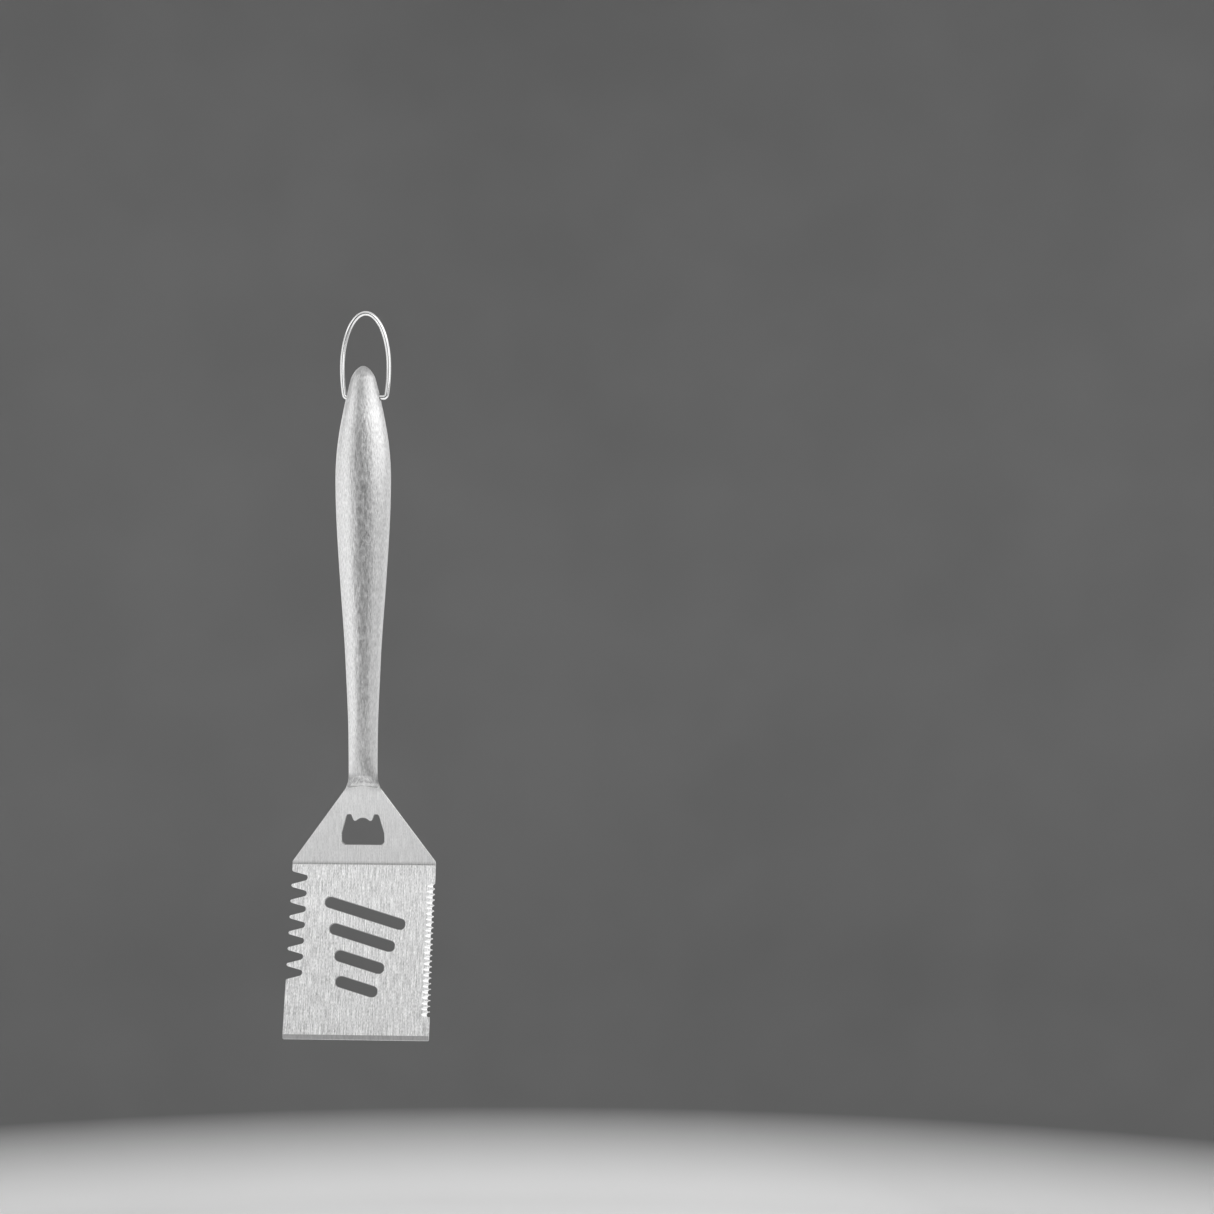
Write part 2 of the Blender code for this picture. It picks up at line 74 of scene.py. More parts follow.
# Handle: distances run down from the butt's tip
PIVOT_BELOW_TIP = 20.2 * MM
HANDLE_LENGTH = 266.7 * MM
NECK_BEND_BELOW_HANDLE = 0.3 * MM
NECK_ARCH_START = 246.0 * MM
NECK_ARCH_DROP = 2.4 * MM
FILLET_START = 262.0 * MM
SKIN_LENGTH = 269.0 * MM
SKIN_END_HALF_DEPTH = 1.02 * MM
DOME_LENGTH = 9.0 * MM
# (distance, half width) and (distance, half depth), in millimetres
HANDLE_HALF_WIDTHS = (
    (0, 5.8), (20, 10.8), (40, 14.9), (56, 17.0), (72, 17.75), (99, 17.1), (137, 14.8),
    (176, 12.0), (200, 10.8), (215, 10.1), (230, 9.55), (245, 9.35), (262, 9.3), (266.5, 9.75),
    (268.5, 10.4), (270, 10.92), (271.6, 11.83),
)
HANDLE_HALF_DEPTHS = (
    (0, 4.6), (20, 8.0), (40, 10.6), (72, 12.2), (99, 11.8), (137, 10.2),
    (176, 8.6), (214, 6.9), (240, 5.2), (256, 3.9), (266.7, 2.9),
)
SECTION_POWER = 2.2
NECK_POWER = 2.8
SKIN_END_POWER = 8.0
FLATTENING_START = 200 * MM
SECTION_STEPS = 96
GRAIN_RADIUS = 14 * MM
DOME_STEPS = 16
HANDLE_STEPS = 150
FILLET_STEPS = 24

# Blade sheet: heights run up the flat sheet from the bend between the blade and its shoulder
SHEET_HALF = 1.0 * MM
RIM_ROUND = 0.25 * MM
BLADE_HALF_WIDTH = 46.4 * MM
BLADE_LENGTH = 112.0 * MM
BLADE_ANGLE = math.radians(18.3)
SHOULDER_HEIGHT = 53.6 * MM
SHOULDER_ANGLE = math.radians(5.35)
SHOULDER_CORNER_HEIGHT = 1.75 * MM
SHOULDER_CORNER_RADIUS = 2.0 * MM
NECK_HALF_WIDTH = 9.85 * MM
NECK_FLARE_X = 11.0 * MM
NECK_FLARE_HEIGHT = 50.0 * MM
NECK_FLARE_RADIUS = 7.5 * MM
TANG_HALF_WIDTH = 5.0 * MM
TANG_LENGTH = 16.0 * MM
TANG_CORNER_RADIUS = 2.0 * MM
BEND_REACH = 0.9 * MM
BEND_STEPS = 8
EDGE_BEVEL_WIDTH = 2.9 * MM
EDGE_THICKNESS = 0.8 * MM

SLOT_RADIUS = 3.6 * MM
SLOT_TILT = math.radians(16.7)
SLOT_SPANS = (47.5 * MM, 37.0 * MM, 26.2 * MM, 21.0 * MM)
FIRST_SLOT_X = 2.2 * MM
FIRST_SLOT_DROP = 31.9 * MM
SLOT_STEP_X = -1.08 * MM
SLOT_STEP_DROP = 15.6 * MM
# Just under a half circle, so that the two arcs of an end never share a point
SLOT_END_ROUND = 0.999

TEETH_GULLETS = 7
GULLET_PITCH = 10.17 * MM
FIRST_GULLET_DROP = 9.3 * MM
GULLET_HALF_MOUTH = 4.3 * MM
GULLET_HALF_ANGLE = math.radians(14.9)
GULLET_RADIUS = 2.05 * MM
TOOTH_RADIUS = 0.95 * MM
BLADE_CORNER_RADIUS = 0.8 * MM

SERRATIONS = 24
SERRATION_PITCH = 3.555 * MM
FIRST_SERRATION_DROP = 13.95 * MM
SERRATION_RADIUS = 1.6 * MM
FIRST_SERRATION_DEPTH = 1.3 * MM
LAST_SERRATION_DEPTH = 1.95 * MM
# The ground facet in front of each serration
FACET_REACH = 3.3 * MM
FACET_SLOPE = math.radians(16)
FACET_RADIUS = 1.45 * MM
FACET_ROD_LENGTH = 24 * MM
ROD_STEPS = 40

OPENER_CENTRE_X = -0.44 * MM
# (half width, height, corner radius), in millimetres
OPENER_HALF = (
    (13.9, 12.7, 3.4), (13.8, 20.0, 12.0), (10.1, 33.2, 2.1),
    (7.6, 32.8, 1.0), (5.6, 27.5, 1.5), (0.0, 31.9, 5.2),
)

# Painted light and shade on the sheet, by height up the flat sheet and by distance from its middle
SHOULDER_PAINTED_LIGHT_REACH = 45.0 * MM
FOLD_SHADE_HALF = 0.4 * MM
FOLD_SHADE_END = 3.0 * MM
SHEET_SHADE_REACH = 6.0 * MM
SHEET_SHADE_FULL = 1.0 * MM
SHEET_SHADE_INNER = 3.0 * MM
SHEET_SHADE_OUTER = 8.0 * MM

# Marks and painted light on the handle. The painted dark reflection above the neck starts at an X and curves
# to the right as it runs down; painted shade darkens the neck's corners
NECK_REFLECTION_REACH = 26.0 * MM
NECK_REFLECTION_X = 1.2 * MM
NECK_REFLECTION_CURVE = 6.5 * MM
NECK_REFLECTION_HALF_WIDTH = 5.0 * MM
NECK_SHADE_REACH = 7.0 * MM
NECK_SHADE_FULL = 3.0 * MM
NECK_SHADE_INNER = 4.0 * MM
NECK_SHADE_OUTER = 9.0 * MM
NECK_FADE_REACH = 2.0 * MM
NECK_FADE_OUTER = 8.0 * MM
SEAM_MARK_HALF = 0.3 * MM
SEAM_MARK_END = 0.7 * MM
# Darker towards the butt's tip, over this reach
TIP_DARKENING_REACH = 32.0 * MM

# Mesh settings
CORNER_STEP = math.radians(8)
WELD_DISTANCE = 0.001 * MM
FLAT_SHARP = math.radians(12)
ROUND_SHARP = math.radians(35)
RIM_BEVEL_STEPS = 1
WIRE_BEVEL_STEPS = 8

# The blade's material slots, and how far a face's normal points to the front in each
EDGE_SLOT, FACET_SLOT, CUT_SLOT = 1, 2, 3
EDGE_LEAST_NORMAL = 0.5
FACET_NORMALS = (0.1, 0.99)
CUT_MOST_NORMAL = 0.95
SERRATION_BAND = 8.0 * MM

# Camera, in the tool's frame
CAMERA_PLACE = (223.3 * MM, -1393.8 * MM, -100.3 * MM)
CAMERA_PAN = math.radians(2.741)
CAMERA_TILT = math.radians(-1.359)
CAMERA_ROLL = math.radians(0.18)
SENSOR_WIDTH = 36.0
LENS = 64.87

# Studio: a round floor that sweeps up into a wall all round
FLOOR_GREY = 0.86
BACKDROP_GREY = 0.11
BACKDROP_FADE = 0.15
FLOOR_BELOW_TOOL = 1.2
STUDIO_RADIUS = 4.5
SWEEP_RADIUS = 0.5
STUDIO_TOP = 1.8
SWEEP_STEPS = 20
STUDIO_SIDES = 128
SOFTBOX_DISTANCE = 3.2
FLOOR_LIGHT_SIZE = 5.0
FLOOR_LIGHT_POWER = 85.0
WORLD_GREY = 0.95
WORLD_STRENGTH = 0.88
# Name, azimuth, elevation and roll in degrees, width and height in metres, radiance
SOFTBOXES = (
    ("left_softbox", -64, 4, 42, 4.5, 3.2, 0.98),
    ("high_right_softbox", 53, 27, 0, 6.0, 2.9, 1.2),
    ("low_right_softbox", 62, -12, 0, 5.8, 1.6, 0.45),
    ("low_left_softbox", -33, -12, 0, 1.5, 1.8, 0.55),
    ("back_left_softbox", -130, 6, 0, 3.4, 3.0, 0.9),
    ("back_right_softbox", 136, 8, 0, 4.4, 3.2, 0.75),
)

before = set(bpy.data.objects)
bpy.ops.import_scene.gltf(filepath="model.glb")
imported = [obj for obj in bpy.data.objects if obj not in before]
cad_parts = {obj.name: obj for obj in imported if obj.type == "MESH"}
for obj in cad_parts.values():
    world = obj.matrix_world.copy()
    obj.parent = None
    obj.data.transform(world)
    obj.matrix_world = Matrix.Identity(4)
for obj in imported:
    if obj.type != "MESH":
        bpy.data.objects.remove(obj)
cad_low, cad_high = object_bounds()
tube_low, tube_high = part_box("loop_tube")
PIVOT = (tube_low + tube_high) / 2
TOOL_FRAME = Matrix.Translation(PIVOT) @ Matrix.Rotation(HANG_TILT, 4, "X")
LOOP_CENTRE_X = (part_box("hanging_loop")[0].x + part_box("hanging_loop")[1].x) / 2
FLOOR_Z = cad_low.z - FLOOR_BELOW_TOOL

HANDLE_END_Z = PIVOT_BELOW_TIP - HANDLE_LENGTH
SHOULDER_UP = Vector((-math.sin(SHOULDER_ANGLE), math.cos(SHOULDER_ANGLE)))
BLADE_UP = Vector((math.sin(BLADE_ANGLE), math.cos(BLADE_ANGLE)))
TANG_UP = Vector((0, 1))
NECK_CORNER = Vector((0, HANDLE_END_Z - NECK_BEND_BELOW_HANDLE))
BLADE_BEND = NECK_CORNER - SHOULDER_HEIGHT * SHOULDER_UP


# ---- Mesh helpers ----


def add_piece(name, mesh, materials, body, replaced):
    obj = bpy.data.objects.new(name, mesh)
    bpy.context.scene.collection.objects.link(obj)
    for material in materials:
        mesh.materials.append(material)
    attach(obj, body)
    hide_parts(*replaced)


def mesh_from(bm, name):
    bmesh.ops.recalc_face_normals(bm, faces=bm.faces)
    mesh = bpy.data.meshes.new(name)
    bm.to_mesh(mesh)
    bm.free()
    return mesh


def smooth_mesh(mesh, sharpest):
    mesh.shade_smooth()
    mesh.set_sharp_from_angle(angle=sharpest)


def evaluated_mesh(obj):
    """The object's mesh with its modifiers or its curve's bevel applied; the object is removed."""
    bpy.context.view_layer.update()
    graph = bpy.context.evaluated_depsgraph_get()
    mesh = bpy.data.meshes.new_from_object(obj.evaluated_get(graph))
    bpy.data.objects.remove(obj, do_unlink=True)
    return mesh


def welded(mesh):
    bm = bmesh.new()
    bm.from_mesh(mesh)
    bmesh.ops.remove_doubles(bm, verts=bm.verts, dist=WELD_DISTANCE)
    bmesh.ops.recalc_face_normals(bm, faces=bm.faces)
    bm.to_mesh(mesh)
    bm.free()
    return mesh


def curve_object(name, outlines, closed, dimensions):
    curve = bpy.data.curves.new(name, "CURVE")
    curve.dimensions = dimensions
    for outline in outlines:
        spline = curve.splines.new("POLY")
        spline.points.add(len(outline) - 1)
        for point, place in zip(spline.points, outline):
            point.co = (*place, 0, 1) if len(place) == 2 else (*place, 1)
        spline.use_cyclic_u = closed
    obj = bpy.data.objects.new(name, curve)
    bpy.context.scene.collection.objects.link(obj)
    return obj


def round_corners(corners, closed=True):
    """Points of a polygon of (x, y, radius) corners, each corner with a radius turned into an arc."""
    points = []
    count = len(corners)
    for index, (x, y, radius) in enumerate(corners):
        corner = Vector((x, y))
        at_end = not closed and index in (0, count - 1)
        if radius == 0 or at_end:
            points.append(corner)
            continue
        to_last = (Vector(corners[index - 1][:2]) - corner).normalized()
        to_next = (Vector(corners[(index + 1) % count][:2]) - corner).normalized()
        half_opening = to_last.angle(to_next) / 2
        centre = corner + (to_last + to_next).normalized() * (radius / math.sin(half_opening))
        reach = radius / math.tan(half_opening)
        first = corner + to_last * reach - centre
        sweep = first.angle_signed(corner + to_next * reach - centre)
        steps = max(1, math.ceil(abs(sweep) / CORNER_STEP))
        for step in range(steps + 1):
            points.append(centre + Matrix.Rotation(-sweep * step / steps, 2) @ first)
    return points


def smooth_through(stations, place):
    """The value at a place on a smooth curve through (place, value) stations."""
    places = [station[0] for station in stations]
    values = [station[1] for station in stations]
    last = len(stations) - 1
    low = min(max(bisect_right(places, place) - 1, 0), last - 1)
    high = low + 1

    def slope(index):
        before, after = max(index - 1, 0), min(index + 1, last)
        return (values[after] - values[before]) / (places[after] - places[before])

    span = places[high] - places[low]
    share = (place - places[low]) / span
    squared, cubed = share**2, share**3
    return (
        values[low] * (2 * cubed - 3 * squared + 1)
        + values[high] * (3 * squared - 2 * cubed)
        + slope(low) * span * (cubed - 2 * squared + share)
        + slope(high) * span * (cubed - squared)
    )


# ---- Materials ----


class Nodes:
    """A short way to write a material's node tree."""

    def __init__(self, name):
        self.material = bpy.data.materials.new(name)
        self.material.use_nodes = True
        self.tree = self.material.node_tree
        self.shader = self.tree.nodes["Principled BSDF"]

    def add(self, kind, **settings):
        node = self.tree.nodes.new(kind)
        for key, value in settings.items():
            setattr(node, key, value)
        return node

    def link(self, source, target):
        self.tree.links.new(source, target)

    def stretched(self, source, scale, offset=(0, 0, 0)):
        mapping = self.add("ShaderNodeMapping")
        mapping.inputs["Scale"].default_value = scale
        mapping.inputs["Location"].default_value = offset
        self.link(source, mapping.inputs["Vector"])
        return mapping.outputs["Vector"]

    def noise(self, vector, scale, detail=3.0, roughness=0.55):
        noise = self.add("ShaderNodeTexNoise")
        noise.inputs["Scale"].default_value = scale
        noise.inputs["Detail"].default_value = detail
        noise.inputs["Roughness"].default_value = roughness
        self.link(vector, noise.inputs["Vector"])
        return noise.outputs["Fac"]

    def ranged(self, value, low, high, from_low=0.3, from_high=0.7):
        span = self.add("ShaderNodeMapRange")
        span.inputs["From Min"].default_value = from_low
        span.inputs["From Max"].default_value = from_high
        span.inputs["To Min"].default_value = low
        span.inputs["To Max"].default_value = high
        self.link(value, span.inputs["Value"])
        return span.outputs["Result"]

    def math(self, operation, first, second):
        node = self.add("ShaderNodeMath", operation=operation)
        for socket, value in zip(node.inputs, (first, second)):
            if isinstance(value, (int, float)):
                socket.default_value = value
            else:
                self.link(value, socket)
        return node.outputs["Value"]

    def grey(self, value):
        joined = self.add("ShaderNodeCombineColor")
        for channel in ("Red", "Green", "Blue"):
            self.link(value, joined.inputs[channel])
        return joined.outputs["Color"]

    def bump(self, height, distance, strength, under=None):
        bump = self.add("ShaderNodeBump")
        bump.inputs["Distance"].default_value = distance
        bump.inputs["Strength"].default_value = strength
        self.link(height, bump.inputs["Height"])
        if under is not None:
            self.link(under, bump.inputs["Normal"])
        return bump.outputs["Normal"]

    def metal(self, anisotropic):
        """Bare metal. Reflections spread across the brushing, which runs along V of the grain map."""
        self.shader.inputs["Metallic"].default_value = 1.0
        if anisotropic:
            self.shader.inputs["Anisotropic"].default_value = anisotropic
            tangent = self.add("ShaderNodeTangent", direction_type="UV_MAP", uv_map="grain")
            self.link(tangent.outputs["Tangent"], self.shader.inputs["Tangent"])

    def mean(self, first, second):
        return self.math("MULTIPLY", self.math("ADD", first, second), 0.5)

    def uv(self):
        return self.add("ShaderNodeUVMap", uv_map="grain").outputs["UV"]

    def place(self):
        return self.add("ShaderNodeTexCoord").outputs["Object"]

    def place_in_tool(self):
        """The place in the tool's own frame, about the pivot."""
        mapping = self.add("ShaderNodeMapping", vector_type="TEXTURE")
        mapping.inputs["Location"].default_value = PIVOT
        mapping.inputs["Rotation"].default_value = (HANG_TILT, 0, 0)
        self.link(self.place(), mapping.inputs["Vector"])
        return mapping.outputs["Vector"]


def brushed_blade_material():
    """Sheet brushed along the tool: fine streaks over faint cloudy patches, fainter on its shoulder. Painted
    light brightens the shoulder upwards; painted shade darkens the fold and the corners below the neck.
    """
    n = Nodes("brushed_blade")
    n.metal(anisotropic=0.85)
    uv = n.uv()
    fine = n.noise(n.stretched(uv, (2600, 560, 1)), 1.0, detail=2.0, roughness=0.6)
    coarse = n.noise(n.stretched(uv, (1400, 100, 1), (3, 7, 0)), 1.0, detail=2.0)
    cloud = n.noise(n.stretched(uv, (70, 25, 1), (11, 2, 0)), 1.0, detail=2.0)
    streaks = n.mean(fine, coarse)
    on_flat = n.add("ShaderNodeSeparateXYZ")
    n.link(uv, on_flat.inputs["Vector"])
    across, height = on_flat.outputs["X"], on_flat.outputs["Y"]
    contrast = n.ranged(height, 1.0, 0.4, 0.0, BEND_REACH)
    # Painted light: the shoulder lighter upwards, the blade below the bend darker
    painted_shoulder_light = n.ranged(height, 0.70, 0.84, 0.0, SHOULDER_PAINTED_LIGHT_REACH)
    # Painted shade along the fold: a dark line at the bend, fading out up the shoulder
    past_bend = n.ranged(height, 0.0, 0.22, -FOLD_SHADE_HALF, FOLD_SHADE_HALF)
    past_fold_shade = n.ranged(height, 0.0, 0.22, FOLD_SHADE_HALF, FOLD_SHADE_END)
    painted_fold_shade = n.math("SUBTRACT", past_bend, past_fold_shade)
    brushing = n.math("MULTIPLY", n.ranged(streaks, -0.44, 0.44), contrast)
    # Painted shade, mottled, in the corners of the sheet just below the neck
    shade_start, shade_full = SHOULDER_HEIGHT - SHEET_SHADE_REACH, SHOULDER_HEIGHT - SHEET_SHADE_FULL
    by_neck = n.ranged(height, 0.0, 0.26, shade_start, shade_full)
    from_middle = n.math("ABSOLUTE", across, 0)
    by_corner = n.ranged(from_middle, 0.25, 1.0, SHEET_SHADE_INNER, SHEET_SHADE_OUTER)
    shade_mottling = n.ranged(n.noise(n.place(), 420.0, detail=3.0), 0.6, 1.4)
    painted_corner_shade = n.math("MULTIPLY", n.math("MULTIPLY", by_neck, by_corner), shade_mottling)
    sheet = n.math("SUBTRACT", n.math("ADD", painted_shoulder_light, brushing), n.math("ADD", painted_fold_shade, painted_corner_shade))
    tone = n.math("ADD", sheet, n.ranged(cloud, -0.02, 0.02))
    n.link(n.grey(tone), n.shader.inputs["Base Color"])
    n.link(n.ranged(streaks, 0.42, 0.54), n.shader.inputs["Roughness"])
    n.link(n.bump(streaks, 0.00004, 0.4), n.shader.inputs["Normal"])
    return n.material


def ground_edge_material():
    """The blade's thinned lower edge, ground across; its dark colour is partly painted shade, as the edge
    faces down.
    """
    n = Nodes("ground_and_shaded_edge")
    n.metal(anisotropic=0.3)
    uv = n.uv()
    marks = n.noise(n.stretched(uv, (900, 250, 1)), 1.0, detail=3.0)
    # Partly painted shade: the ground edge is made darker than the sheet
    n.link(n.grey(n.ranged(marks, 0.28, 0.38)), n.shader.inputs["Base Color"])
    n.link(n.ranged(marks, 0.34, 0.44), n.shader.inputs["Roughness"])
    n.link(n.bump(marks, 0.00003, 0.4), n.shader.inputs["Normal"])
    return n.material


def ground_facet_material():
    """The serrations' facets, freshly ground and bright, with grinding lines along each facet."""
    n = Nodes("ground_facet")
    n.metal(anisotropic=0.0)
    uv = n.uv()
    marks = n.noise(n.stretched(uv, (250, 1800, 1)), 1.0, detail=3.0)
    n.link(n.grey(n.ranged(marks, 0.84, 0.96)), n.shader.inputs["Base Color"])
    n.link(n.ranged(marks, 0.26, 0.38), n.shader.inputs["Roughness"])
    return n.material


def cut_edge_material():
    """The punched walls of the slots and of the opener: rough, and darkened with painted shade."""
    n = Nodes("shaded_cut_edge")
    n.metal(anisotropic=0.0)
    marks = n.noise(n.stretched(n.place(), (1500, 300, 1500)), 1.0, detail=3.0)
    # Painted shade: a dark colour on the walls inside the openings
    n.link(n.grey(n.ranged(marks, 0.22, 0.36)), n.shader.inputs["Base Color"])
    n.link(n.ranged(marks, 0.40, 0.58), n.shader.inputs["Roughness"])
    return n.material


def satin_handle_material():
    """Satin handle, polished by hand in long strokes: soft waves, short blotches and fine streaks. A painted
    dark reflection runs down to the neck, painted shade darkens the neck's corners, and the tone darkens
    towards the butt's tip.
    """
    n = Nodes("satin_handle")
    n.metal(anisotropic=0.3)
    uv = n.uv()
    waves = n.noise(n.stretched(uv, (110, 24, 1)), 1.0, detail=2.0)
    blotches = n.noise(n.stretched(uv, (800, 200, 1), (5, 9, 0)), 1.0, detail=3.0)
    streaks = n.noise(n.stretched(uv, (1700, 380, 1), (2, 4, 0)), 1.0, detail=2.0)
    place = n.add("ShaderNodeSeparateXYZ")
    n.link(n.place_in_tool(), place.inputs["Vector"])
    tone = n.math("ADD", n.ranged(streaks, 0.54, 0.84), n.ranged(blotches, -0.07, 0.07))
    across, depth, height = place.outputs["X"], place.outputs["Y"], place.outputs["Z"]
    # Painted dark reflection: a dark line down the front that curves to the right near the neck
    neck = n.ranged(height, 0.0, 1.0, NECK_CORNER.y + NECK_REFLECTION_REACH, NECK_CORNER.y)
    curved = n.math("MULTIPLY", n.math("MULTIPLY", neck, neck), NECK_REFLECTION_CURVE)
    from_reflection_line = n.math("SUBTRACT", n.math("SUBTRACT", across, NECK_REFLECTION_X), curved)
    painted_dark_reflection = n.ranged(n.math("ABSOLUTE", from_reflection_line, 0), 0.36, 0.0, 0.0, NECK_REFLECTION_HALF_WIDTH)
    # Painted shade, mottled, in the neck's corners, fading out onto the sheet
    from_middle = n.math("ABSOLUTE", across, 0)
    corner = n.ranged(from_middle, 0.30, 0.36, NECK_SHADE_INNER, NECK_SHADE_OUTER)
    shade_start, shade_full = NECK_CORNER.y + NECK_SHADE_REACH, NECK_CORNER.y + NECK_SHADE_FULL
    end = n.ranged(height, 0.0, 1.0, shade_start, shade_full)
    clouds = n.ranged(n.noise(n.place(), 420.0, detail=3.0), 0.75, 1.25)
    painted_reflection_and_shade = n.math("MAXIMUM", n.math("MULTIPLY", painted_dark_reflection, neck), n.math("MULTIPLY", corner, end))
    onto_sheet = n.ranged(height, 1.0, 0.4, NECK_CORNER.y, NECK_CORNER.y - NECK_FADE_REACH)
    at_corner = n.ranged(from_middle, 0.0, 0.85, NECK_SHADE_INNER, NECK_FADE_OUTER)
    fade = n.math("MAXIMUM", onto_sheet, at_corner)
    faded_reflection_and_shade = n.math("MULTIPLY", n.math("MULTIPLY", painted_reflection_and_shade, clouds), fade)
    seam = n.ranged(n.math("ABSOLUTE", depth, 0), 0.06, 0.0, SEAM_MARK_HALF, SEAM_MARK_END)
    # Darker towards the butt's tip
    tip = n.ranged(height, 0.0, 0.28, PIVOT_BELOW_TIP - TIP_DARKENING_REACH, PIVOT_BELOW_TIP)
    marked = n.math("ADD", n.math("ADD", faded_reflection_and_shade, seam), tip)
    n.link(n.grey(n.math("SUBTRACT", tone, marked)), n.shader.inputs["Base Color"])
    n.link(n.ranged(blotches, 0.28, 0.40), n.shader.inputs["Roughness"])
    soft = n.bump(waves, 0.0010, 0.5)
    mottled = n.bump(blotches, 0.0003, 0.6, soft)
    n.link(n.bump(streaks, 0.00012, 0.6, mottled), n.shader.inputs["Normal"])
    return n.material


def polished_wire_material():
    """Bright drawn wire with faint marks along it."""
    n = Nodes("polished_wire")
    n.metal(anisotropic=0.0)
    marks = n.noise(n.stretched(n.place(), (900, 900, 120)), 1.0, detail=2.0)
    n.link(n.grey(n.ranged(marks, 0.72, 0.84)), n.shader.inputs["Base Color"])
    n.link(n.ranged(marks, 0.06, 0.11), n.shader.inputs["Roughness"])
    return n.material


def tube_material():
    """Lip of the tube in the butt, dulled by the wire that turns in it."""
    n = Nodes("tube_steel")
    n.metal(anisotropic=0.0)
    marks = n.noise(n.place(), 1800.0, detail=2.0)
    n.link(n.grey(n.ranged(marks, 0.42, 0.58)), n.shader.inputs["Base Color"])
    n.link(n.ranged(marks, 0.28, 0.42), n.shader.inputs["Roughness"])
    return n.material


def studio_material():
    """Matt paper: pale on the floor, fading to a mid grey up the backdrop."""
    n = Nodes("studio_paper")
    height = n.add("ShaderNodeSeparateXYZ")
    n.link(n.place(), height.inputs["Vector"])
    tone = n.ranged(height.outputs["Z"], FLOOR_GREY, BACKDROP_GREY, FLOOR_Z, FLOOR_Z + BACKDROP_FADE)
    cloud = n.ranged(n.noise(n.place(), 3.0, detail=2.0), -0.005, 0.005)
    n.link(n.grey(n.math("ADD", tone, cloud)), n.shader.inputs["Base Color"])
    n.shader.inputs["Roughness"].default_value = 0.9
    return n.material


# ---- Handle ----


def handle_half_width(distance):
    dome_share = min(distance / DOME_LENGTH, 1.0)
    dome = math.sqrt(1 - (1 - dome_share) ** 2)
    return smooth_through(HANDLE_HALF_WIDTHS, distance / MM) * MM * dome


def fillet_share(distance):
    """How far down the fillet a distance is, from 0 at its start to 1 at the skin's end."""
    return min(max((distance - FILLET_START) / (SKIN_LENGTH - FILLET_START), 0.0), 1.0)


def handle_half_depth(distance):
    """Half depth of the skin. Past the fillet's start it runs out in a hollow curve onto the sheet."""
    dome_share = min(distance / DOME_LENGTH, 1.0)
    dome = math.sqrt(1 - (1 - dome_share) ** 2)
    half_depth = smooth_through(HANDLE_HALF_DEPTHS, min(distance, HANDLE_LENGTH) / MM) * MM * dome
    share = fillet_share(distance)
    lift = 1 - share**2 * (3 - 2 * share)
    return SKIN_END_HALF_DEPTH + (half_depth - SKIN_END_HALF_DEPTH) * lift


def section_power(distance):
    """How square the section is: oval in the grip, flatter at the neck, a flat bar at the skin's end."""
    flat_share = (distance - FLATTENING_START) / (HANDLE_LENGTH - FLATTENING_START)
    flat_share = min(max(flat_share, 0.0), 1.0)
    power = SECTION_POWER + (NECK_POWER - SECTION_POWER) * flat_share**2
    return power + (SKIN_END_POWER - NECK_POWER) * fillet_share(distance) ** 2


def section_point(angle, half_width, half_depth, power):
    cosine, sine = math.cos(angle), math.sin(angle)
    x = math.copysign(abs(cosine) ** (2 / power), cosine) * half_width
    y = math.copysign(abs(sine) ** (2 / power), sine) * half_depth
    return x, y


def handle_distances():
    """Distances from the butt's tip of the skin's rows, close together on the dome and on the fillet."""
    distances = []
    for step in range(1, DOME_STEPS):
        distances.append(DOME_LENGTH * (1 - math.cos(math.pi / 2 * step / DOME_STEPS)))
    for step in range(HANDLE_STEPS):
        distances.append(DOME_LENGTH + (FILLET_START - DOME_LENGTH) * step / HANDLE_STEPS)
    for step in range(FILLET_STEPS + 1):
        distances.append(FILLET_START + (SKIN_LENGTH - FILLET_START) * step / FILLET_STEPS)
    return distances


def handle_row(distance):
    """Points round the skin at a distance below the tip. Near the neck the row arches down at its sides."""
    arch_share = max(distance - NECK_ARCH_START, 0.0) / (SKIN_LENGTH - NECK_ARCH_START)
    arch = NECK_ARCH_DROP * arch_share**2
    half_width = handle_half_width(distance + arch)
    half_depth = handle_half_depth(distance)
    power = section_power(distance)
    points = []
    for step in range(SECTION_STEPS):
        x, y = section_point(2 * math.pi * step / SECTION_STEPS, half_width, half_depth, power)
        z = PIVOT_BELOW_TIP - distance - arch * (x / half_width) ** 2
        lean = max(0.0, NECK_CORNER.y - z) * math.tan(SHOULDER_ANGLE)
        points.append((x, y + lean, z))
    return points


def handle_mesh():
    """The closed handle, with its seams and neck welds ground into one skin, and its grain map in metres."""
    bm = bmesh.new()
    grain = bm.loops.layers.uv.new("grain")
    distances = handle_distances()
    rows = [[bm.verts.new(point) for point in handle_row(distance)] for distance in distances]

    def lay_grain(face, corners):
        for loop, (distance, step) in zip(face.loops, corners):
            loop[grain].uv = (2 * math.pi * step / SECTION_STEPS * GRAIN_RADIUS, distance)

    tip = bm.verts.new((0, 0, PIVOT_BELOW_TIP))
    for step in range(SECTION_STEPS):
        after = (step + 1) % SECTION_STEPS
        face = bm.faces.new((tip, rows[0][step], rows[0][after]))
        lay_grain(face, ((0, step), (distances[0], step), (distances[0], step + 1)))
        for index in range(len(rows) - 1):
            upper, lower = rows[index], rows[index + 1]
            near, far = distances[index], distances[index + 1]
            face = bm.faces.new((upper[step], lower[step], lower[after], upper[after]))
            lay_grain(face, ((near, step), (far, step), (far, step + 1), (near, step + 1)))
    bm.faces.new(rows[-1])
    return mesh_from(bm, "handle")


def cut_mesh(mesh, cutter, name):
    """The mesh less the cutter object, which is then removed."""
    obj = bpy.data.objects.new(name, mesh)
    bpy.context.scene.collection.objects.link(obj)
    cut = obj.modifiers.new("cut", "BOOLEAN")
    cut.operation = "DIFFERENCE"
    cut.object = cutter
    made = evaluated_mesh(obj)
    bpy.data.objects.remove(cutter, do_unlink=True)
    return made


